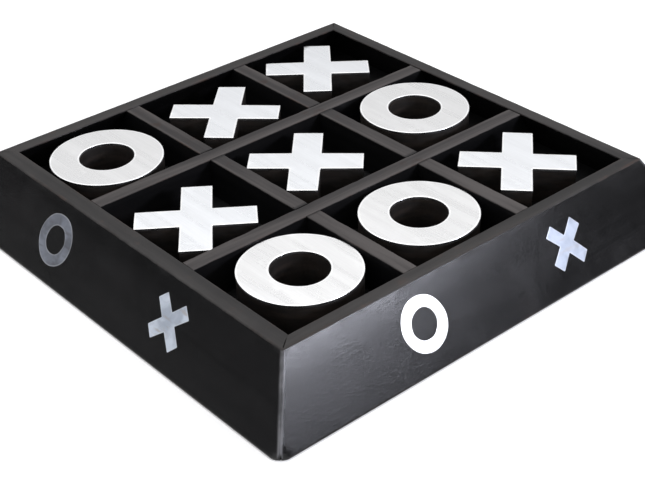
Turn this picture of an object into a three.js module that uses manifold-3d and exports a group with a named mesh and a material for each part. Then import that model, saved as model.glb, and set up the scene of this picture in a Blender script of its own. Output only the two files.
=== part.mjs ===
// A tic tac toe set: a shallow wooden tray with outward-flaring walls, four crossed
// dividers that make nine cells, and nine loose playing pieces, five X and four O.
// Each piece is a wooden block with a metal plate on top. Each wall carries one O and
// one X inlay, let flush into its sloping outer face.
// Millimetres, +Z up, origin at the centre of the base, front is -Y and left is -X.

import * as THREE from 'three';
import { mergeVertices } from 'three/addons/utils/BufferGeometryUtils.js';
import Module from 'manifold-3d';

const wasm = await Module();
wasm.setup();

// Tray
const RIM_SIDE = 300; // outer side of the square rim
const TRAY_HEIGHT = 47;
const FLARE = 28; // how far each outer face runs outwards from rim to base
const MITRE_GAP = 0.3;
const GAP = 0.3; // clearance round every piece let into another
const WALL = { front: 9.8, right: 10.2, back: 10.6, left: 12.4 }; // measured level

// Floor panel, held in a groove round the inner faces
const FLOOR_TOP = 19.5;
const FLOOR_THICKNESS = 6;
const FLOOR_TONGUE = 3;

// Dividers
const DIVIDER_THICKNESS = 10.7;
const DIVIDER_DROP = 0.7; // top edge below the rim
const CENTRES_X = [-46.5, 48.0]; // of the dividers that run along Y
const CENTRES_Y = [-48.9, 48.5]; // of the dividers that run along X

// Playing pieces
const X_SPAN = 76;
const X_ARM = 20;
const O_RADIUS = 38;
const O_HOLE_RADIUS = 18.2;
const PLATE_THICKNESS = 1.6;
const GLUE_LINE = 0.1;
const REST_GAP = 0.2; // under a resting piece
const O_SEGMENTS = 24; // a full circle gets twice as many sides

// Inlays in the sloping faces
const INLAY_THICKNESS = 1.5;
const INLAY_O_RADIUS = 16.9;
const INLAY_O_HOLE_RADIUS = 9.4;
const INLAY_X_SPAN = 33.5;
const INLAY_X_ARM = 8.6;
const INLAY_X_TURN = -2.5; // degrees
const INLAY_DROP = 25.5; // centre below the rim, along the slope
const INLAY_SEGMENTS = 16;

// Where the nine pieces stand, how far each is turned in degrees, and how deep the
// top of its plate lies below the rim. They were cut by hand, so they differ.
const X_PIECES = [
  { x: 92.4, y: 103.1, turn: 4.8, recess: 3.6 },
  { x: -0.7, y: 93.3, turn: 0.1, recess: 2.4 },
  { x: -5.5, y: 1.1, turn: 1.5, recess: 2.4 },
  { x: -100.4, y: -6.3, turn: 7.8, recess: 2.4 },
  { x: 93.9, y: -94.3, turn: -2.9, recess: 2.4 },
];
const O_PIECES = [
  { x: -97.2, y: 97.0, turn: 0, recess: 2.4 },
  { x: 96.2, y: 4.0, turn: 0, recess: 0.6 },
  { x: 3.4, y: -96.2, turn: 0, recess: 2.4 },
  { x: -90.1, y: -93.4, turn: 0, recess: 2.5 },
];

// The four sides, counter-clockwise from the front: quarter turns from the front, and
// where the O and the X stand along the side, seen from outside with + to the right.
const SIDES = [
  { name: 'front', quarter: 0, inlayO: -57, inlayX: 65 },
  { name: 'right', quarter: 1, inlayO: -60, inlayX: 61 },
  { name: 'back', quarter: 2, inlayO: -57, inlayX: 65 },
  { name: 'left', quarter: 3, inlayO: -60, inlayX: 61 },
];

const HALF_RIM = RIM_SIDE / 2;
const INNER = {
  left: -HALF_RIM + WALL.left,
  right: HALF_RIM - WALL.right,
  front: -HALF_RIM + WALL.front,
  back: HALF_RIM - WALL.back,
};

const MATERIALS = {
  wall: new THREE.MeshStandardMaterial({ color: 0x2b2a2e, roughness: 0.45, metalness: 0 }),
  divider: new THREE.MeshStandardMaterial({ color: 0x2e2b2c, roughness: 0.6, metalness: 0 }),
  floor: new THREE.MeshStandardMaterial({ color: 0x161416, roughness: 0.7, metalness: 0 }),
  block: new THREE.MeshStandardMaterial({ color: 0x2a2422, roughness: 0.6, metalness: 0 }),
  plate: new THREE.MeshStandardMaterial({ color: 0xe9ecf0, roughness: 0.35, metalness: 1 }),
  inlay: new THREE.MeshStandardMaterial({ color: 0xb4bcc8, roughness: 0.4, metalness: 1 }),
};

const object = new THREE.Group();

function addMesh(parent, name, geometry, material) {
  const mesh = new THREE.Mesh(geometry, material);
  mesh.name = name;
  parent.add(mesh);
  return mesh;
}

// --- Joining and cutting solids -------------------------------------------------

function toSolid(geometry) {
  const bare = geometry.clone();
  bare.deleteAttribute('normal');
  bare.deleteAttribute('uv');
  const merged = mergeVertices(bare, 1e-4);
  const mesh = new wasm.Mesh({
    numProp: 3,
    vertProperties: new Float32Array(merged.attributes.position.array),
    triVerts: new Uint32Array(merged.index.array),
  });
  return new wasm.Manifold(mesh);
}

function toGeometry(solid) {
  const mesh = solid.getMesh();
  const geometry = new THREE.BufferGeometry();
  geometry.setAttribute('position', new THREE.BufferAttribute(mesh.vertProperties, 3));
  geometry.setIndex(new THREE.BufferAttribute(mesh.triVerts, 1));
  geometry.computeVertexNormals();
  return geometry;
}

function extrude(shape, depth, curveSegments = 12) {
  return new THREE.ExtrudeGeometry(shape, { depth, bevelEnabled: false, curveSegments });
}

// --- Outlines ----------------------------------------------------------------------

function polygon(points) {
  return new THREE.Shape(points.map(([x, y]) => new THREE.Vector2(x, y)));
}

// An X of two crossed bars of equal length, with its arms on the diagonals.
function crossShape(span, arm, turnDegrees) {
  const end = span / 2;
  const half = arm / 2;
  const turn = THREE.MathUtils.degToRad(45 + turnDegrees);
  const points = [];
  for (let quarter = 0; quarter < 4; quarter += 1) {
    const angle = turn + (quarter * Math.PI) / 2;
    for (const [along, across] of [[end, -half], [end, half], [half, half]]) {
      points.push([
        along * Math.cos(angle) - across * Math.sin(angle),
        along * Math.sin(angle) + across * Math.cos(angle),
      ]);
    }
  }
  return polygon(points);
}

function ringShape(outerRadius, innerRadius) {
  const shape = new THREE.Shape();
  shape.absarc(0, 0, outerRadius, 0, 2 * Math.PI, false);
  const hole = new THREE.Path();
  hole.absarc(0, 0, innerRadius, 0, 2 * Math.PI, true);
  shape.holes.push(hole);
  return shape;
}

// --- Walls ---------------------------------------------------------------------------

// How far the walls have run outwards at a height above the base.
function flareAt(z) {
  return FLARE * (1 - z / TRAY_HEIGHT);
}

// A wall is a straight prism over its mitred rim outline, whose vertices are then
// pushed outwards along both axes by the flare at their height.
function flaredPrism(outline) {
  const geometry = extrude(polygon(outline), TRAY_HEIGHT);
  const position = geometry.attributes.position;
  for (let i = 0; i < position.count; i += 1) {
    const push = flareAt(position.getZ(i));
    position.setX(i, position.getX(i) + Math.sign(position.getX(i)) * push);
    position.setY(i, position.getY(i) + Math.sign(position.getY(i)) * push);
  }
  return geometry;
}

// Rim outlines, each running counter-clockwise and held back from the mitre planes.
const HOLD = MITRE_GAP / 2;
const OUTER_END = HALF_RIM - HOLD;
const WALL_OUTLINES = {
  front: [
    [-OUTER_END, -HALF_RIM],
    [OUTER_END, -HALF_RIM],
    [INNER.right - HOLD, INNER.front],
    [INNER.left + HOLD, INNER.front],
  ],
  right: [
    [HALF_RIM, -OUTER_END],
    [HALF_RIM, OUTER_END],
    [INNER.right, INNER.back - HOLD],
    [INNER.right, INNER.front + HOLD],
  ],
  back: [
    [OUTER_END, HALF_RIM],
    [-OUTER_END, HALF_RIM],
    [INNER.left + HOLD, INNER.back],
    [INNER.right - HOLD, INNER.back],
  ],
  left: [
    [-HALF_RIM, OUTER_END],
    [-HALF_RIM, -OUTER_END],
    [INNER.left, INNER.front + HOLD],
    [INNER.left, INNER.back - HOLD],
  ],
};

const FLOOR_PUSH = flareAt(FLOOR_TOP - FLOOR_THICKNESS / 2) + FLOOR_TONGUE;

// The floor panel, or with a clearance the groove that takes it.
function floorGeometry(clearance) {
  const reach = FLOOR_PUSH + clearance;
  const left = INNER.left - reach;
  const right = INNER.right + reach;
  const front = INNER.front - reach;
  const back = INNER.back + reach;
  const height = FLOOR_THICKNESS + 2 * clearance;
  const geometry = new THREE.BoxGeometry(right - left, back - front, height);
  const middle = FLOOR_TOP - FLOOR_THICKNESS / 2;
  return geometry.translate((left + right) / 2, (front + back) / 2, middle);
}

// A group lying on one side's sloping outer face: x along the side, y up the slope,
// z straight out, origin at the middle of the rim's edge.
function sideFace(side) {
  const turned = new THREE.Group();
  turned.rotation.z = (side.quarter * Math.PI) / 2;
  const face = new THREE.Group();
  face.position.set(0, -HALF_RIM, TRAY_HEIGHT);
  face.rotation.x = Math.atan2(TRAY_HEIGHT, FLARE);
  turned.add(face);
  object.add(turned);
  turned.updateMatrixWorld(true);
  return face;
}

// The two inlays of a side, or with a clearance the pockets that take them.
function inlayGeometries(side, clearance, cutAbove) {
  const depth = INLAY_THICKNESS + clearance + cutAbove;
  const ring = ringShape(INLAY_O_RADIUS + clearance, INLAY_O_HOLE_RADIUS - clearance);
  const cross = crossShape(
    INLAY_X_SPAN + 2 * clearance,
    INLAY_X_ARM + 2 * clearance,
    INLAY_X_TURN,
  );
  const low = -INLAY_THICKNESS - clearance;
  return {
    o: extrude(ring, depth, INLAY_SEGMENTS).translate(side.inlayO, -INLAY_DROP, low),
    x: extrude(cross, depth).translate(side.inlayX, -INLAY_DROP, low),
  };
}

const groove = toSolid(floorGeometry(GAP));
for (const side of SIDES) {
  const face = sideFace(side);
  const pockets = inlayGeometries(side, GAP, 1);
  let wall = toSolid(flaredPrism(WALL_OUTLINES[side.name])).subtract(groove);
  for (const pocket of Object.values(pockets)) {
    wall = wall.subtract(toSolid(pocket.applyMatrix4(face.matrixWorld)));
  }
  addMesh(object, `wall_${side.name}`, toGeometry(wall), MATERIALS.wall);

  const inlays = inlayGeometries(side, 0, 0);
  addMesh(face, `inlay_${side.name}_o`, inlays.o, MATERIALS.inlay);
  addMesh(face, `inlay_${side.name}_x`, inlays.x, MATERIALS.inlay);
}

addMesh(object, 'floor_panel', floorGeometry(0), MATERIALS.floor);

// --- Dividers --------------------------------------------------------------------------

const DIVIDER_TOP = TRAY_HEIGHT - DIVIDER_DROP;
const DIVIDER_FOOT = FLOOR_TOP + REST_GAP;
const LAP_HEIGHT = (DIVIDER_TOP + DIVIDER_FOOT) / 2;

// A divider seen from its side: sloping ends that follow the walls, and a notch at
// each crossing, open upwards or downwards, where the other pair is lapped over it.
function dividerShape(low, high, crossings, notchOpensUp) {
  const lowEnd = (z) => low + GAP - flareAt(z);
  const highEnd = (z) => high - GAP + flareAt(z);
  const half = DIVIDER_THICKNESS / 2 + GAP / 2;
  const edge = notchOpensUp ? DIVIDER_TOP : DIVIDER_FOOT;
  const bottom = LAP_HEIGHT + (notchOpensUp ? -GAP / 2 : GAP / 2);
  const notches = crossings.flatMap((centre) => [
    [centre - half, edge],
    [centre - half, bottom],
    [centre + half, bottom],
    [centre + half, edge],
  ]);
  const lowFoot = [lowEnd(DIVIDER_FOOT), DIVIDER_FOOT];
  const highFoot = [highEnd(DIVIDER_FOOT), DIVIDER_FOOT];
  const highTop = [highEnd(DIVIDER_TOP), DIVIDER_TOP];
  const lowTop = [lowEnd(DIVIDER_TOP), DIVIDER_TOP];
  return notchOpensUp
    ? polygon([lowFoot, highFoot, highTop, ...notches.reverse(), lowTop])
    : polygon([lowFoot, ...notches, highFoot, highTop, lowTop]);
}

function addDivider(name, shape, centre, alongY) {
  const geometry = extrude(shape, DIVIDER_THICKNESS);
  geometry.translate(0, 0, -DIVIDER_THICKNESS / 2).rotateX(Math.PI / 2);
  const divider = addMesh(object, name, geometry, MATERIALS.divider);
  divider.rotation.z = alongY ? Math.PI / 2 : 0;
  divider.position.set(alongY ? centre : 0, alongY ? 0 : centre, 0);
}

const alongX = dividerShape(INNER.left, INNER.right, CENTRES_X, false);
const alongY = dividerShape(INNER.front, INNER.back, CENTRES_Y, true);
addDivider('divider_front', alongX, CENTRES_Y[0], false);
addDivider('divider_back', alongX, CENTRES_Y[1], false);
addDivider('divider_left', alongY, CENTRES_X[0], true);
addDivider('divider_right', alongY, CENTRES_X[1], true);

// --- Playing pieces ------------------------------------------------------------------------

function addPiece(kind, number, place, outline, segments) {
  const foot = FLOOR_TOP + REST_GAP;
  const plateFoot = TRAY_HEIGHT - place.recess - PLATE_THICKNESS;
  const blockHeight = plateFoot - GLUE_LINE - foot;
  const piece = new THREE.Group();
  piece.position.set(place.x, place.y, 0);
  piece.rotation.z = THREE.MathUtils.degToRad(place.turn);
  object.add(piece);

  const block = extrude(outline, blockHeight, segments);
  addMesh(piece, `${kind}_block_${number}`, block, MATERIALS.block).position.z = foot;
  const plate = extrude(outline, PLATE_THICKNESS, segments);
  addMesh(piece, `${kind}_plate_${number}`, plate, MATERIALS.plate).position.z = plateFoot;
}

const xOutline = crossShape(X_SPAN, X_ARM, 0);
const oOutline = ringShape(O_RADIUS, O_HOLE_RADIUS);
X_PIECES.forEach((place, i) => addPiece('x', i + 1, place, xOutline, 1));
O_PIECES.forEach((place, i) => addPiece('o', i + 1, place, oOutline, O_SEGMENTS));

export default object;
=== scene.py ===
"""A tic tac toe set: black stained tray with flared walls, nine metal-faced pieces.

Metres, +Z up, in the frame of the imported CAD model. Front is -Y, left is -X.
"""

import math
import random

import bpy
import bmesh
from mathutils import Matrix, Vector, noise


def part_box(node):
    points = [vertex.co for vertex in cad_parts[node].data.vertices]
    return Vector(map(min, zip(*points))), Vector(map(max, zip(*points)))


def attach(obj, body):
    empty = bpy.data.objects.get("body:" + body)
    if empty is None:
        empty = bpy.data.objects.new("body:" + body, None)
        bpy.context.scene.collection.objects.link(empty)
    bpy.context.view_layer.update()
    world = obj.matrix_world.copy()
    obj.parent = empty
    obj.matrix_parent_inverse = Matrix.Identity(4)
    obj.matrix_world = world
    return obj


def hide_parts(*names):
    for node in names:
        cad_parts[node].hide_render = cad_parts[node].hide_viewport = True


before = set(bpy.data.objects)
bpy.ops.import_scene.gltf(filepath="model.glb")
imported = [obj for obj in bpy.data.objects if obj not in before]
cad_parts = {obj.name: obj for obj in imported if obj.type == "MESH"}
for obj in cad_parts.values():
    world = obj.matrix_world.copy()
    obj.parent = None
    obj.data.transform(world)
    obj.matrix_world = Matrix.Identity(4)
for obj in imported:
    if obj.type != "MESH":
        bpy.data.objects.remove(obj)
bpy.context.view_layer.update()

MM = 0.001

# --- Sizes, from the frame where it has them ------------------------------------------

TRAY_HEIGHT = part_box("wall_front")[1].z
BASE_HALF = -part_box("wall_front")[0].y
FLARE = 28 * MM
RIM_HALF = BASE_HALF - FLARE
INNER = {
    "front": -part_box("wall_front")[1].y,
    "right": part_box("wall_right")[0].x,
    "back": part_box("wall_back")[0].y,
    "left": -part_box("wall_left")[1].x,
}
SIDES = ["front", "right", "back", "left"]
MITRE_GAP = 0.12 * MM

RIM_EASE = 1.5 * MM
INNER_EASE = 0.9 * MM
FOOT_EASE = 1.0 * MM
CORNER_EASE = 1.6 * MM
FACE_ROLL = 0.4 * MM
FACE_ROLL_FROM = 31 * MM
FOOT_TIP_ROUND = 11 * MM
FOOT_TIP_HEIGHT = 7 * MM
SUPPORT = 0.4 * MM  # from the end of a long flat side to the point that keeps its arris narrow

X_SPAN = 76 * MM
X_ARM = 20 * MM
X_TURNS = [4.8, 0.1, 1.5, 7.8, -2.9]
O_HOLE_RADIUS = 18.2 * MM
INLAY_HOLE_RADIUS = 9.4 * MM
INLAY_X_SPAN = 33.5 * MM
INLAY_X_ARM = 8.6 * MM
INLAY_X_TURN = -2.5
INLAY_THICKNESS = 1.5 * MM
SEAM = 0.25 * MM  # a block's edge lies this far inside its plate's
PLATE_TINTS = {"x": (1.08, 1.10, 1.13), "o": (1.0, 1.0, 1.0)}
BRUSH_TURN = 12  # degrees between a piece and the brush marks on its plate

# Camera: the point it looks at on the rim plane, how far away it stands, and the turn
# of its view round the vertical and round its own axis.
CAMERA_TARGET = Vector((-0.0646, -0.0841, TRAY_HEIGHT))
CAMERA_DISTANCE = 0.850
CAMERA_AZIMUTH = 50.16
CAMERA_ELEVATION = 32.62
CAMERA_ROLL = -1.98
CAMERA_LENS = 80.0

# How bright the surroundings are at each height, as (share of the way up, grey).
WORLD_GREYS = [(0.0, 0.06), (0.16, 0.10), (0.30, 0.38), (0.38, 0.95), (1.0, 1.0)]
FLOOR_HALF = 6.0
FLOOR_DROP = 0.2 * MM


# --- Scene ------------------------------------------------------------------------------

def make_camera():
    data = bpy.data.cameras.new("camera")
    data.sensor_width = 36
    data.lens = CAMERA_LENS
    data.clip_start = 0.01
    camera = bpy.data.objects.new("camera", data)
    bpy.context.scene.collection.objects.link(camera)
    azimuth = math.radians(CAMERA_AZIMUTH)
    elevation = math.radians(CAMERA_ELEVATION)
    forward = Vector((
        math.cos(elevation) * math.cos(azimuth),
        math.cos(elevation) * math.sin(azimuth),
        -math.sin(elevation),
    ))
    camera.location = CAMERA_TARGET - forward * CAMERA_DISTANCE
    level = forward.to_track_quat("-Z", "Y").to_matrix()
    roll = Matrix.Rotation(math.radians(CAMERA_ROLL), 3, "Z")
    camera.rotation_euler = (level @ roll).to_euler()
    bpy.context.scene.camera = camera


def make_light(name, place, target, size, power, colour=(1, 1, 1)):
    data = bpy.data.lights.new(name, "AREA")
    data.shape = "RECTANGLE"
    data.size, data.size_y = size
    data.energy = power
    data.color = colour
    light = bpy.data.objects.new(name, data)
    light.location = place
    towards = Vector(target) - Vector(place)
    light.rotation_euler = towards.to_track_quat("-Z", "Y").to_euler()
    bpy.context.scene.collection.objects.link(light)


def make_world():
    world = bpy.data.worlds.new("studio")
    bpy.context.scene.world = world
    world.use_nodes = True
    nodes = world.node_tree.nodes
    links = world.node_tree.links
    background = nodes["Background"]
    coordinate = nodes.new("ShaderNodeTexCoord")
    split = nodes.new("ShaderNodeSeparateXYZ")
    ramp = nodes.new("ShaderNodeValToRGB")
    links.new(coordinate.outputs["Generated"], split.inputs[0])
    links.new(split.outputs["Z"], ramp.inputs["Fac"])
    elements = ramp.color_ramp.elements
    for number, (height, grey) in enumerate(WORLD_GREYS):
        stop = elements[number] if number < 2 else elements.new(height)
        stop.position = height
        stop.color = (grey, grey, grey * 1.01, 1)
    links.new(ramp.outputs["Color"], background.inputs["Color"])
    background.inputs["Strength"].default_value = 1.0


def make_floor():
    mesh = bpy.data.meshes.new("floor")
    corners = [(-1, -1), (1, -1), (1, 1), (-1, 1)]
    mesh.from_pydata([(x * FLOOR_HALF, y * FLOOR_HALF, -FLOOR_DROP) for x, y in corners],
                     [], [(0, 1, 2, 3)])
    floor = bpy.data.objects.new("floor", mesh)
    bpy.context.scene.collection.objects.link(floor)
    material = bpy.data.materials.new("pale_floor")
    material.use_nodes = True
    shader = material.node_tree.nodes["Principled BSDF"]
    shader.inputs["Base Color"].default_value = (0.93, 0.93, 0.93, 1)
    shader.inputs["Roughness"].default_value = 0.9
    shader.inputs["Emission Color"].default_value = (1, 1, 1, 1)
    shader.inputs["Emission Strength"].default_value = 0.15
    mesh.materials.append(material)


# --- Materials -----------------------------------------------------------------------------

class Nodes:
    """Short ways to add shader nodes to one material."""

    def __init__(self, name):
        self.material = bpy.data.materials.new(name)
        self.material.use_nodes = True
        self.tree = self.material.node_tree
        self.shader = self.tree.nodes["Principled BSDF"]

    def add(self, kind, inputs=None, **settings):
        node = self.tree.nodes.new(kind)
        for key, value in settings.items():
            setattr(node, key, value)
        for key, value in (inputs or {}).items():
            self.feed(node.inputs[key], value)
        return node

    def feed(self, socket, value):
        if isinstance(value, bpy.types.NodeSocket):
            self.tree.links.new(value, socket)
        else:
            socket.default_value = value

    def math(self, operation, a, b=0.0, c=None):
        node = self.add("ShaderNodeMath", operation=operation)
        self.feed(node.inputs[0], a)
        self.feed(node.inputs[1], b)
        if c is not None:
            self.feed(node.inputs[2], c)
        return node.outputs[0]

    def mix(self, factor, a, b):
        node = self.add("ShaderNodeMix", data_type="RGBA")
        self.feed(node.inputs["Factor"], factor)
        self.feed(node.inputs["A"], a)
        self.feed(node.inputs["B"], b)
        return node.outputs["Result"]

    def band(self, value, low, high, to_low=0.0, to_high=1.0):
        node = self.add("ShaderNodeMapRange", clamp=True, interpolation_type="SMOOTHSTEP")
        for socket, number in zip(node.inputs[1:5], (low, high, to_low, to_high)):
            socket.default_value = number
        self.feed(node.inputs[0], value)
        return node.outputs[0]

    def place(self, scale=(1, 1, 1), turn=0.0):
        coordinate = self.add("ShaderNodeTexCoord")
        mapping = self.add("ShaderNodeMapping", {"Vector": coordinate.outputs["Object"]})
        mapping.inputs["Scale"].default_value = scale
        mapping.inputs["Rotation"].default_value = (0, 0, turn)
        return mapping.outputs[0]

    def noise(self, vector, scale, detail=4.0, rough=0.55, distortion=0.0):
        node = self.add("ShaderNodeTexNoise", {
            "Vector": vector, "Scale": scale, "Detail": detail,
            "Roughness": rough, "Distortion": distortion,
        })
        return node.outputs["Fac"]

    def attribute(self, name):
        return self.add("ShaderNodeAttribute", attribute_name=name).outputs["Fac"]

    def bump(self, height, strength, distance, normal=None):
        node = self.add("ShaderNodeBump", {
            "Height": height, "Strength": strength, "Distance": distance,
        })
        if normal is not None:
            self.feed(node.inputs["Normal"], normal)
        return node.outputs["Normal"]

    def finish(self, colour, roughness, normal, **values):
        self.feed(self.shader.inputs["Base Color"], colour)
        self.feed(self.shader.inputs["Roughness"], roughness)
        self.feed(self.shader.inputs["Normal"], normal)
        for key, value in values.items():
            self.shader.inputs[key.replace("_", " ")].default_value = value
        return self.material


def rgb(r, g, b):
    return (r, g, b, 1.0)


def stained_wood(name, along_y, gloss, wear=1.0, specular=0.27):
    """Black stain under a thin polish: grain runs along the board, the level edges are
    dull, the arrises are rubbed through, the walls' foot arris is lightened as a painted
    highlight, and the tray's corners are worn pale with a painted highlight on them."""
    n = Nodes(name)
    grain_scale = (110, 5, 110) if along_y else (5, 110, 110)
    fine_scale = (1100, 30, 1100) if along_y else (30, 1100, 1100)
    grain = n.noise(n.place(grain_scale), 1.0, 6, 0.6, 0.4)
    fibre = n.noise(n.place(fine_scale), 1.0, 3, 0.7)
    blotch = n.noise(n.place(), 22, 5, 0.6)
    patch = n.noise(n.place(), 60, 5, 0.65)
    speck = n.noise(n.place(), 500, 2, 0.5)
    edge = n.attribute("edge")
    top = n.attribute("top")

    stain = n.mix(n.band(grain, 0.35, 0.7), rgb(0.0030, 0.0030, 0.0034),
                  rgb(0.0062, 0.0060, 0.0066))
    stain = n.mix(n.band(blotch, 0.58, 0.75, 0, 0.4), stain, rgb(0.0090, 0.0068, 0.0062))
    rubbed = n.mix(n.band(grain, 0.3, 0.7), rgb(0.016 * wear, 0.015 * wear, 0.0150 * wear),
                   rgb(0.034 * wear, 0.031 * wear, 0.0300 * wear))
    rubbed = n.mix(n.band(patch, 0.58, 0.72, 0, 0.5), rubbed, rgb(0.046, 0.031, 0.026))
    rubbed = n.mix(n.band(fibre, 0.60, 0.78, 0, 0.5), rubbed, rgb(0.010, 0.009, 0.009))
    colour = n.mix(top, stain, rubbed)
    # Upper arrises are lightened by rubbed-through wear; on the walls' foot arris the same lightening
    # is a painted highlight.
    scuffs_and_foot_highlight = n.math("MULTIPLY", edge, n.band(patch, 0.42, 0.62, 0.15, 1.0))
    bare_wood_and_highlight_tone = n.mix(n.band(blotch, 0.45, 0.65), rgb(0.050, 0.046, 0.045), rgb(0.075, 0.040, 0.028))
    colour = n.mix(n.math("MULTIPLY", scuffs_and_foot_highlight, 0.5), colour, bare_wood_and_highlight_tone)
    # Pale bluish band up the tray's corners: partly wear, partly a painted highlight.
    corner = n.math("MULTIPLY", n.attribute("corner"), n.band(patch, 0.35, 0.6, 0.45, 1.0))
    corner = n.math("MULTIPLY", corner, n.band(top, 0.0, 0.4, 1.0, 0.0))
    colour = n.mix(corner, colour, rgb(0.15, 0.15, 0.16))

    face_rough = n.band(blotch, 0.3, 0.7, gloss - 0.02, gloss + 0.03)
    face_rough = n.math("ADD", face_rough, n.math("MULTIPLY", fibre, 0.05))
    dull = n.math("MAXIMUM", top, n.math("MULTIPLY", scuffs_and_foot_highlight, 0.5))
    roughness = n.math("ADD", face_rough, n.math("MULTIPLY", dull, 0.40))
    cloudy = n.noise(n.place(), 34, 5, 0.68)
    roughness = n.math("ADD", roughness, n.band(cloudy, 0.45, 0.68, 0, 0.05))

    scrape = n.noise(n.place((1000, 380, 900) if along_y else (380, 1000, 900)), 1.0, 6, 0.75, 0.1)
    normal = n.bump(fibre, 0.25, 0.00006)
    normal = n.bump(grain, 0.12, 0.00012, normal)
    normal = n.bump(scrape, 0.45, 0.00020, normal)
    normal = n.bump(n.band(speck, 0.72, 0.80), 0.4, 0.0001, normal)
    return n.finish(colour, roughness, normal, Specular_IOR_Level=specular)


def block_wood():
    """The pieces' blocks: dark stain, browner along the grain, with darker patches."""
    n = Nodes("block_stain")
    grain = n.noise(n.place((40, 40, 260)), 1.0, 5, 0.6)
    patch = n.noise(n.place(), 120, 4, 0.6)
    colour = n.mix(n.band(grain, 0.35, 0.7), rgb(0.008, 0.0065, 0.0058),
                   rgb(0.022, 0.016, 0.0130))
    colour = n.mix(n.band(patch, 0.5, 0.7, 0, 0.6), colour, rgb(0.006, 0.005, 0.005))
    normal = n.bump(grain, 0.4, 0.0002)
    roughness = n.band(patch, 0.3, 0.7, 0.45, 0.65)
    return n.finish(colour, roughness, normal, Specular_IOR_Level=0.4)


def plate_metal(name, turn, tint):
    """Brushed aluminium sheet; the band round its top edge is painted near white as a highlight."""
    n = Nodes(name)
    brush = n.noise(n.place((1400, 26, 300), turn), 1.0, 3, 0.6)
    broad = n.noise(n.place((160, 9, 60), turn), 1.0, 3, 0.6)
    cloud = n.noise(n.place(), 30, 4, 0.6)
    scratch = n.noise(n.place((2600, 12, 300), turn + 0.5), 1.0, 2, 0.5)
    smudge = n.noise(n.place(), 75, 5, 0.65, 0.8)
    edge = n.attribute("edge")
    low = tuple(0.77 * c for c in tint)
    high = tuple(0.81 * c for c in tint)
    colour = n.mix(n.band(brush, 0.3, 0.7), rgb(*low), rgb(*high))
    colour = n.mix(n.band(cloud, 0.55, 0.75, 0, 0.25), colour, rgb(0.76, 0.78, 0.82))
    colour = n.mix(n.band(scratch, 0.72, 0.80, 0, 0.04), colour, rgb(0.66, 0.67, 0.70))
    # Painted highlight: the band round the plate's top edge is painted near white.
    colour = n.mix(edge, colour, rgb(0.98, 0.98, 0.985))
    roughness = n.band(broad, 0.3, 0.7, 0.24, 0.38)
    roughness = n.math("ADD", roughness, n.band(smudge, 0.55, 0.7, 0, 0.10))
    normal = n.bump(brush, 0.03, 0.00001)
    return n.finish(colour, roughness, normal, Metallic=1.0)


def inlay_metal(name, low, high, worn):
    """Hand-cut metal set in the walls: cloudy, with worn warmer streaks, and a painted
    highlight round its top edge.
    """
    n = Nodes(name)
    cloud = n.noise(n.place(), 90, 4, 0.6, 0.5)
    streak = n.noise(n.place((60, 60, 300)), 1.0, 4, 0.6)
    fleck = n.noise(n.place(), 700, 3, 0.6)
    colour = n.mix(n.band(cloud, 0.35, 0.65), rgb(*low), rgb(*high))
    colour = n.mix(n.band(streak, 0.52, 0.70, 0, 0.7), colour, rgb(*worn))
    colour = n.mix(n.band(fleck, 0.66, 0.76, 0, 0.5), colour, rgb(0.20, 0.19, 0.20))
    # Painted highlight: the band round the inlay's top edge is mixed towards light grey.
    light = n.mix(0.4, rgb(*high), rgb(0.9, 0.9, 0.92))
    colour = n.mix(n.math("MULTIPLY", n.attribute("edge"), 0.5), colour, light)
    roughness = n.band(cloud, 0.3, 0.7, 0.30, 0.50)
    normal = n.bump(fleck, 0.25, 0.00008)
    return n.finish(colour, roughness, normal, Metallic=0.55)


# --- Mesh helpers ---------------------------------------------------------------------------

def add_object(name, verts, faces, attributes=None, sharp=35):
    mesh = bpy.data.meshes.new(name)
    mesh.from_pydata(verts, [], faces)
    for key, values in (attributes or {}).items():
        layer = mesh.attributes.new(key, "FLOAT", "POINT")
        layer.data.foreach_set("value", values)
    bm = bmesh.new()
    bm.from_mesh(mesh)
    bmesh.ops.recalc_face_normals(bm, faces=bm.faces)
    bm.to_mesh(mesh)
    bm.free()
    mesh.shade_smooth()
    mesh.set_sharp_from_angle(angle=math.radians(sharp))
    obj = bpy.data.objects.new(name, mesh)
    bpy.context.scene.collection.objects.link(obj)
    return obj


def settle(obj, body, node, material):
    """The piece stands for a CAD node, rides on its body and takes its finish."""
    obj.data.materials.clear()
    obj.data.materials.append(material)
    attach(obj, body)
    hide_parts(node)


def subtract(obj, cutters):
    for cutter in cutters:
        modifier = obj.modifiers.new("cut", "BOOLEAN")
        modifier.operation = "DIFFERENCE"
        modifier.solver = "EXACT"
        modifier.object = cutter
    bpy.context.view_layer.update()
    depsgraph = bpy.context.evaluated_depsgraph_get()
    mesh = bpy.data.meshes.new_from_object(obj.evaluated_get(depsgraph))
    old = obj.data
    obj.modifiers.clear()
    obj.data = mesh
    mesh.set_sharp_from_angle(angle=math.radians(35))
    mesh.name = old.name
    bpy.data.meshes.remove(old)
    for cutter in cutters:
        cutter_mesh = cutter.data
        bpy.data.objects.remove(cutter)
        bpy.data.meshes.remove(cutter_mesh)


def rounded_polygon(points, radii, steps=4):
    """A closed outline with each corner replaced by an arc. Returns the points and,
    for each, 1 on an arc and 0 elsewhere."""
    out = []
    flags = []
    count = len(points)
    for i, radius in enumerate(radii):
        corner = Vector(points[i])
        to_last = (Vector(points[i - 1]) - corner).normalized()
        to_next = (Vector(points[(i + 1) % count]) - corner).normalized()
        half = to_last.angle(to_next) / 2
        if radius <= 0:
            out.append(corner)
            flags.append(0.0)
            continue
        tangent = radius / math.tan(half)
        centre = corner + (to_last + to_next).normalized() * (radius / math.sin(half))
        first = corner + to_last * tangent - centre
        last = corner + to_next * tangent - centre
        sweep = first.angle_signed(last)
        for step in range(steps + 1):
            turn = Matrix.Rotation(-sweep * step / steps, 2)
            out.append(centre + turn @ first)
            flags.append(1.0)
    return out, flags


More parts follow.
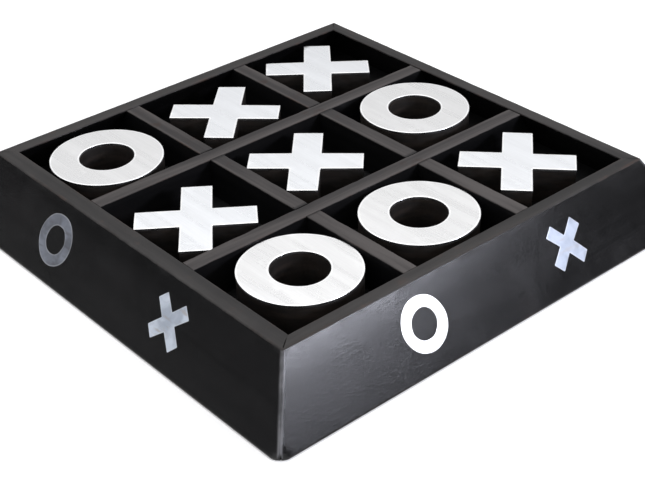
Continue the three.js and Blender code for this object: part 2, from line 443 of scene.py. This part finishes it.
def split_long_edges(points, flags, spacing):
    """Adds points along every side of a closed outline that is longer than spacing."""
    out = []
    out_flags = []
    for i, point in enumerate(points):
        following = points[(i + 1) % len(points)]
        length = (following - point).length
        pieces = max(1, round(length / spacing))
        shares = [piece / pieces for piece in range(pieces)]
        if pieces > 1:
            shares[1:1] = [SUPPORT / length]
            shares.append(1 - SUPPORT / length)
        for number, share in enumerate(shares):
            out.append(point.lerp(following, share))
            out_flags.append(flags[i] if number == 0 else 0.0)
    return out, out_flags


def loft_faces(rings, size, closed_along):
    faces = []
    spans = rings if closed_along else rings - 1
    for ring in range(spans):
        following = (ring + 1) % rings
        for i in range(size):
            j = (i + 1) % size
            faces.append((ring * size + i, ring * size + j,
                          following * size + j, following * size + i))
    if not closed_along:
        faces.append(tuple(range(size)))
        faces.append(tuple(reversed(range((rings - 1) * size, rings * size))))
    return faces


def wander(x, y, z, scale, seed):
    """Smooth noise between about -1 and 1, with features of the given size."""
    return noise.noise(Vector((x, y, z)) / scale + Vector((seed * 7.3, seed * 3.1, seed)))


# --- Tray walls --------------------------------------------------------------------------------

def side_matrix(side):
    """From a side's own frame (x along it, -y outwards) to the row frame."""
    return Matrix.Rotation(SIDES.index(side) * math.pi / 2, 4, "Z")


def stations(end, spacing):
    """Distances along a board as (from which end, distance or share)."""
    near = [0, 0.2, 0.45, 0.8, 1.2, 1.7, 2.5, 3.6, 5.0, 7.0, 9.5, 13]
    near = [("low", d * MM) for d in near]
    count = round(2 * end / spacing)
    middle = [("share", k / count) for k in range(1, count)]
    far = [("high", d) for _, d in reversed(near)]
    return near + middle + far, near[-1][1]


def wall_mesh(side, seed):
    """A tilted board with mitred ends: its eased section is lofted along the side,
    rounded in plan at both corners, more so at the very foot."""
    index = SIDES.index(side)
    thickness = RIM_HALF - INNER[side]
    mitre = {
        "high": (RIM_HALF - INNER[SIDES[(index + 1) % 4]]) / thickness,
        "low": (RIM_HALF - INNER[SIDES[index - 1]]) / thickness,
    }
    section, arc = rounded_polygon(
        [(FLARE, 0), (0, TRAY_HEIGHT), (-thickness, TRAY_HEIGHT), (FLARE - thickness, 0)],
        [FOOT_EASE, RIM_EASE, INNER_EASE, FOOT_EASE],
    )
    section, arc = split_long_edges(section, arc, 4 * MM)
    places, clear = stations(RIM_HALF, 4 * MM)

    verts = []
    edge = []
    corner_wear_and_highlight = []
    top = []
    for kind, value in places:
        for (out, z), on_arc in zip(section, arc):
            flare = FLARE * (1 - z / TRAY_HEIGHT)
            depth = max(flare - out, 0)
            sharp = RIM_HALF + flare
            if kind == "share":
                low = -(sharp - depth * mitre["low"]) + clear
                high = sharp - depth * mitre["high"] - clear
                u = low + (high - low) * value
                corner = 0.0
            else:
                foot = max(0, 1 - z / FOOT_TIP_HEIGHT) ** 2
                radius = CORNER_EASE + FOOT_TIP_ROUND * foot
                near = min(value / radius, 1)
                angle = (1 - near) * math.pi / 4
                inset = radius * (1 - math.cos(angle))
                from_mitre = depth * mitre[kind]
                if depth < inset:
                    depth = inset
                    from_mitre = depth * mitre[kind]
                    along = radius * (1 - math.sin(angle)) + max(value - radius, 0)
                    along = max(along, from_mitre + value * 0.3)
                else:
                    along = from_mitre + value
                along += MITRE_GAP / 2
                u = sharp - along if kind == "high" else along - sharp
                corner = min(1.0, 1.7 * max(0.0, 1 - value / (1.6 * CORNER_EASE)))
            worn = wander(u, z, index, 9 * MM, seed)
            if on_arc and z > TRAY_HEIGHT / 2:
                depth_shift = max(worn, -0.3) * 0.12 * MM
                z -= max(worn, 0) * 0.10 * MM
            else:
                depth_shift = 0.0
            wave = (wander(u, z, index, 55 * MM, seed + 3) + 1) * 0.04 * MM
            outer_side = depth < thickness / 2
            roll = FACE_ROLL * max(0, (z - FACE_ROLL_FROM) / (TRAY_HEIGHT - FACE_ROLL_FROM)) ** 2
            depth += roll + wave + depth_shift if outer_side else -depth_shift * 0.5
            w = RIM_HALF + flare - depth
            verts.append((u, -w, z))
            # Upper arrises are marked for wear; the foot arris gets a weaker mark that paints a
            # highlight line along it.
            arris_wear_and_foot_highlight = on_arc if z > TRAY_HEIGHT / 2 else 0.45 * on_arc
            # Outer corner arris: marked for the pale band, which is wear and a painted highlight.
            on_outside = corner if depth < 1.5 * MM else 0.0
            edge.append(arris_wear_and_foot_highlight)
            corner_wear_and_highlight.append(on_outside)
            top.append(1.0 if z > TRAY_HEIGHT - 0.5 * MM else 0.0)
    size = len(section)
    faces = loft_faces(len(places), size, False)
    wall = add_object(f"tray_wall_{side}", verts, faces,
                      {"edge": edge, "corner": corner_wear_and_highlight, "top": top})
    wall.data.transform(side_matrix(side))
    return wall


# --- Outlines and slabs -------------------------------------------------------------------------

def cross_outline(span, arm, turn, seed, wobble):
    """An X cut by hand: twelve corners, each a little off."""
    draw = random.Random(seed)
    points = []
    for quarter in range(4):
        angle = math.radians(45 + turn) + quarter * math.pi / 2
        for along, across in ((span, -arm), (span, arm), (arm, arm)):
            along = along / 2 + draw.uniform(-wobble, wobble)
            across = across / 2 + draw.uniform(-wobble, wobble)
            points.append((
                along * math.cos(angle) - across * math.sin(angle),
                along * math.sin(angle) + across * math.cos(angle),
            ))
    return points


def offset_outline(points, distance):
    """Moves every side of a closed counter-clockwise outline outwards."""
    out = []
    for i, point in enumerate(points):
        corner = Vector(point)
        before = (corner - Vector(points[i - 1])).normalized()
        after = (Vector(points[(i + 1) % len(points)]) - corner).normalized()
        normal_before = Vector((before.y, -before.x))
        normal_after = Vector((after.y, -after.x))
        middle = (normal_before + normal_after).normalized()
        out.append(corner + middle * distance / max(middle.dot(normal_before), 0.2))
    return out


def cross_loop(outline, out, turns, corner_round):
    """The rounded outline of an X, moved outwards by out. Every loop of one piece has
    the same number of points."""
    radii = [max(corner_round + out * turn, 0.04 * MM) for turn in turns]
    rounded, _ = rounded_polygon(offset_outline(outline, out), radii, 3)
    points = []
    for i, point in enumerate(rounded):
        following = rounded[(i + 1) % len(rounded)]
        straight = i % 4 == 3
        parts = 5 if straight else 1
        points.extend(point.lerp(following, part / parts) for part in range(parts))
    return points


def cross_slab(name, outline, low, high, ease, rim):
    """A flat X with eased edges. Loops run up the side and in over the top; rim is the
    width of the band round its top that is marked for a painted highlight."""
    turns = []
    for i, point in enumerate(outline):
        before = Vector(point) - Vector(outline[i - 1])
        after = Vector(outline[(i + 1) % len(outline)]) - Vector(point)
        turns.append(1 if before.cross(after) > 0 else -1)
    profile = []
    for step in range(4):
        angle = step * math.pi / 6
        profile.append((-ease * (1 - math.sin(angle)), low + ease * (1 - math.cos(angle))))
    for step in range(4):
        angle = step * math.pi / 6
        profile.append((-ease * (1 - math.cos(angle)), high - ease * (1 - math.sin(angle))))
    if rim:
        profile.append((-ease - rim, high))
        profile.append((-ease - 1.5 * rim, high))
    verts = []
    edge = []
    for out, z in profile:
        loop = cross_loop(outline, out, turns, 0.5 * MM)
        verts.extend((point.x, point.y, z) for point in loop)
        edge.extend([1.0 if out > -ease - 1.2 * rim else 0.0] * len(loop))
    faces = loft_faces(len(profile), len(loop), False)
    return add_object(name, verts, faces, {"edge": edge})


def ring_slab(name, outer, inner, low, high, ease, rim, shape, sides=144):
    """A flat ring with eased edges. shape(angle) gives how far its outer and inner
    edges stray from true circles."""
    section, _ = rounded_polygon(
        [(inner, low), (outer, low), (outer, high), (inner, high)],
        [ease] * 4, 3,
    )
    marks = [1.0] * len(section)
    if rim:
        for radius in (outer - ease - rim, outer - ease - 1.5 * rim,
                       inner + ease + 1.5 * rim, inner + ease + rim):
            before = max(i for i, p in enumerate(section)
                         if p.y > high - 1e-9 and p.x > radius)
            section.insert(before + 1, Vector((radius, high)))
            # The bands round the top edges are marked for a painted highlight.
            highlight_band = radius > outer - ease - 1.2 * rim or radius < inner + ease + 1.2 * rim
            marks.insert(before + 1, 1.0 if highlight_band else 0.0)
    verts = []
    edge = []
    for side in range(sides):
        angle = 2 * math.pi * side / sides
        stray_out, stray_in = shape(angle)
        for point, mark in zip(section, marks):
            share = (point.x - inner) / (outer - inner)
            radius = point.x + stray_out * share + stray_in * (1 - share)
            verts.append((radius * math.cos(angle), radius * math.sin(angle), point.y))
            edge.append(mark)
    faces = loft_faces(sides, len(section), True)
    return add_object(name, verts, faces, {"edge": edge})


def hand_cut(seed, amount, oval=0.0):
    """A nearly round outline, with a slow wander, fine saw marks and a touch of oval."""
    def shape(angle):
        x, y = math.cos(angle), math.sin(angle)
        slow_out = noise.noise(Vector((x * 1.5 + seed, y * 1.5, 0.0)))
        slow_in = noise.noise(Vector((x * 1.5, y * 1.5 + seed, 5.0)))
        fine = noise.noise(Vector((x * 12, y * 12, seed)))
        squash = oval * math.cos(2 * angle + seed)
        return (amount * (slow_out + 0.3 * fine), amount * (slow_in + 0.4 * fine) + squash)
    return shape


# --- Playing pieces -----------------------------------------------------------------------------

def make_pieces():
    wood = block_wood()
    for kind, count in (("x", 5), ("o", 4)):
        for number in range(1, count + 1):
            plate_low, plate_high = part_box(f"{kind}_plate_{number}")
            block_low, block_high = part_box(f"{kind}_block_{number}")
            centre = (plate_low + plate_high) / 2
            seed = number + (10 if kind == "o" else 0)
            body = f"{kind}_piece_{number}"
            if kind == "x":
                turn = X_TURNS[number - 1]
                outline = cross_outline(X_SPAN, X_ARM, turn, seed, 0.25 * MM)
                inner = offset_outline(outline, -SEAM)
                block = cross_slab(f"{body}_block", inner, block_low.z, block_high.z,
                                   0.3 * MM, 0)
                plate = cross_slab(f"{body}_plate", outline, plate_low.z, plate_high.z,
                                   0.25 * MM, 0.7 * MM)
            else:
                turn = 20.0 * number
                radius = (plate_high.x - plate_low.x) / 2 - 0.15 * MM
                shape = hand_cut(seed, 0.15 * MM)
                block = ring_slab(f"{body}_block", radius - SEAM, O_HOLE_RADIUS + SEAM,
                                  block_low.z, block_high.z, 0.3 * MM, 0, shape)
                plate = ring_slab(f"{body}_plate", radius, O_HOLE_RADIUS,
                                  plate_low.z, plate_high.z, 0.25 * MM, 0.7 * MM, shape)
            for part in (block, plate):
                part.location = (centre.x, centre.y, 0)
            metal = plate_metal(f"plate_metal_{kind}_{number}",
                                math.radians(turn + BRUSH_TURN), PLATE_TINTS[kind])
            settle(block, body, f"{kind}_block_{number}", wood)
            settle(plate, body, f"{kind}_plate_{number}", metal)


# --- Walls with inlays ---------------------------------------------------------------------------

def face_matrix(side, node):
    """The frame of an inlay: its origin at the inlay's centre on the sloping face,
    x along the side, y up the slope, z straight out."""
    low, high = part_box(node)
    middle = side_matrix(side).inverted() @ ((low + high) / 2)
    tilt = Matrix.Rotation(math.atan2(TRAY_HEIGHT, FLARE), 4, "X")
    lift = Matrix.Translation((0, 0, INLAY_THICKNESS / 2))
    return side_matrix(side) @ Matrix.Translation(middle) @ tilt @ lift


def make_inlay(side, kind, clearance, seed):
    node = f"inlay_{side}_{kind}"
    proud = 0.02 * MM
    low = -INLAY_THICKNESS - (0.2 * MM if clearance else 0)
    high = 1.5 * MM if clearance else proud
    ease = 0.02 * MM if clearance else 0.12 * MM
    rim = 0 if clearance else 0.35 * MM
    name = f"pocket_{side}_{kind}" if clearance else f"inset_{side}_{kind}"
    if kind == "x":
        outline = cross_outline(INLAY_X_SPAN, INLAY_X_ARM, INLAY_X_TURN, seed, 0.35 * MM)
        outline = offset_outline(outline, clearance)
        piece = cross_slab(name, outline, low, high, ease, rim)
    else:
        radius = (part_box(node)[1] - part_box(node)[0])
        radius = max(radius.x, radius.y) / 2
        shape = hand_cut(seed, 0.28 * MM, 0.25 * MM)
        piece = ring_slab(name, radius + clearance, INLAY_HOLE_RADIUS - clearance,
                          low, high, ease, rim, shape, 96)
    piece.data.transform(face_matrix(side, node))
    return piece


def make_walls():
    woods = {
        False: stained_wood("wall_stain_x", False, 0.15),
        True: stained_wood("wall_stain_y", True, 0.15),
    }
    # The inlays are one metal; each copy's colours are painted brighter, darker or bluer as a painted
    # reflection of what its face sees.
    inlay_lit_copies = {
        ("front", "o"): inlay_metal("inlay_painted_bright_reflection", (0.84, 0.85, 0.86), (0.95, 0.95, 0.96),
                                    (0.80, 0.79, 0.78)),
        ("front", "x"): inlay_metal("inlay_painted_blue_reflection", (0.33, 0.37, 0.44), (0.39, 0.43, 0.51),
                                    (0.35, 0.35, 0.37)),
        ("left", "o"): inlay_metal("inlay_painted_dark_reflection", (0.16, 0.17, 0.20), (0.24, 0.26, 0.31),
                                   (0.12, 0.12, 0.14)),
    }
    pale = inlay_metal("inlay_painted_pale_reflection", (0.52, 0.58, 0.68), (0.68, 0.74, 0.84),
                       (0.44, 0.40, 0.38))
    for index, side in enumerate(SIDES):
        wall = wall_mesh(side, 11 + index)
        cutters = []
        for kind in "ox":
            seed = 30 + 2 * index + (kind == "x")
            cutters.append(make_inlay(side, kind, 0.10 * MM, seed))
            inlay = make_inlay(side, kind, 0.0, seed)
            metal = inlay_lit_copies.get((side, kind), pale)
            settle(inlay, "tray", f"inlay_{side}_{kind}", metal)
        subtract(wall, cutters)
        wood = woods[side in ("left", "right")]
        settle(wall, "tray", f"wall_{side}", wood)


# --- Dividers and floor panel ------------------------------------------------------------------------

DIVIDER_EASE = 0.4 * MM


def board_mesh(name, length_low, length_high, half_width, foot, crest, slope, ease, seed):
    """A straight board along x: an eased section lofted between two sloping ends.
    slope is how far each end runs out for each metre down from the crest."""
    section, arc = rounded_polygon(
        [(-half_width, foot), (half_width, foot), (half_width, crest), (-half_width, crest)],
        [0.3 * MM, 0.3 * MM, ease, ease], 3,
    )
    section, arc = split_long_edges(section, arc, 5 * MM)
    count = round((length_high - length_low) / (4 * MM))
    verts = []
    edge = []
    top = []
    for station in range(count + 1):
        share = station / count
        for (y, z), on_arc in zip(section, arc):
            run = slope * (crest - z)
            x = (length_low - run) + (length_high - length_low + 2 * run) * share
            worn = wander(x, y, z, 7 * MM, seed)
            upper = on_arc and z > (foot + crest) / 2
            if upper:
                y -= math.copysign(max(worn, 0) * 0.3 * MM, y)
                z -= max(worn, 0) * 0.25 * MM
            verts.append((x, y, z))
            edge.append(0.8 * on_arc if upper else 0.0)
            top.append(1.0 if z > crest - 0.45 * MM else 0.0)
    faces = loft_faces(count + 1, len(section), False)
    return add_object(name, verts, faces, {"edge": edge, "top": top})


def notch_cutter(centre, half_width, low, high):
    verts = []
    for z in (low, high):
        for x, y in ((-1, -1), (1, -1), (1, 1), (-1, 1)):
            verts.append((centre + x * half_width, y * 20 * MM, z))
    faces = [(0, 3, 2, 1), (4, 5, 6, 7), (0, 1, 5, 4), (1, 2, 6, 5), (2, 3, 7, 6), (3, 0, 4, 7)]
    return add_object("notch", verts, faces)


def make_dividers():
    woods = {
        False: stained_wood("divider_stain_x", False, 0.40, 2.6, 0.14),
        True: stained_wood("divider_stain_y", True, 0.40, 2.6, 0.14),
    }
    boxes = {name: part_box(f"divider_{name}") for name in ("front", "back", "left", "right")}
    slope = FLARE / TRAY_HEIGHT
    play = 0.12 * MM
    for number, name in enumerate(boxes):
        along_y = name in ("left", "right")
        low, high = boxes[name]
        axis, other = (1, 0) if along_y else (0, 1)
        run = slope * (high.z - low.z)
        half = (high[other] - low[other]) / 2
        board = board_mesh(f"grid_divider_{name}", low[axis] + run, high[axis] - run, half,
                           low.z, high.z, slope, DIVIDER_EASE, 50 + number)
        crossing = ("front", "back") if along_y else ("left", "right")
        middle = (low.z + high.z) / 2
        cutters = []
        for other_name in crossing:
            a, b = boxes[other_name]
            centre = (a[axis] + b[axis]) / 2
            zs = (middle - play, high.z + 5 * MM) if along_y else (low.z - 5 * MM, middle + play)
            cutters.append(notch_cutter(centre, half + play, *zs))
        subtract(board, cutters)
        if along_y:
            board.data.transform(Matrix.Rotation(math.pi / 2, 4, "Z"))
        centre = (low[other] + high[other]) / 2
        board.location = (centre, 0, 0) if along_y else (0, centre, 0)
        settle(board, "tray", f"divider_{name}", woods[along_y])


def make_floor_panel():
    low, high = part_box("floor_panel")
    half = (high.y - low.y) / 2
    panel = board_mesh("tray_floor_panel", low.x, high.x, half, low.z, high.z, 0,
                       0.5 * MM, 70)
    panel.location = (0, (low.y + high.y) / 2, 0)
    panel.data.attributes["top"].data.foreach_set("value", [0.0] * len(panel.data.vertices))
    panel.data.attributes["edge"].data.foreach_set("value", [0.0] * len(panel.data.vertices))
    settle(panel, "tray", "floor_panel", stained_wood("floor_stain", False, 0.55))


make_camera()
make_world()
make_floor()
make_light("overhead", (0.25, 0.55, 1.5), (0, 0, 0), (1.6, 1.2), 8)
make_light("front_window", (0.67, -1.46, 0.67), (-0.05, -0.16, 0.03), (0.40, 0.25), 15,
           (0.86, 0.88, 1.0))
bpy.context.scene.view_settings.view_transform = "Standard"

make_walls()
make_dividers()
make_floor_panel()
make_pieces()

bpy.context.view_layer.update()
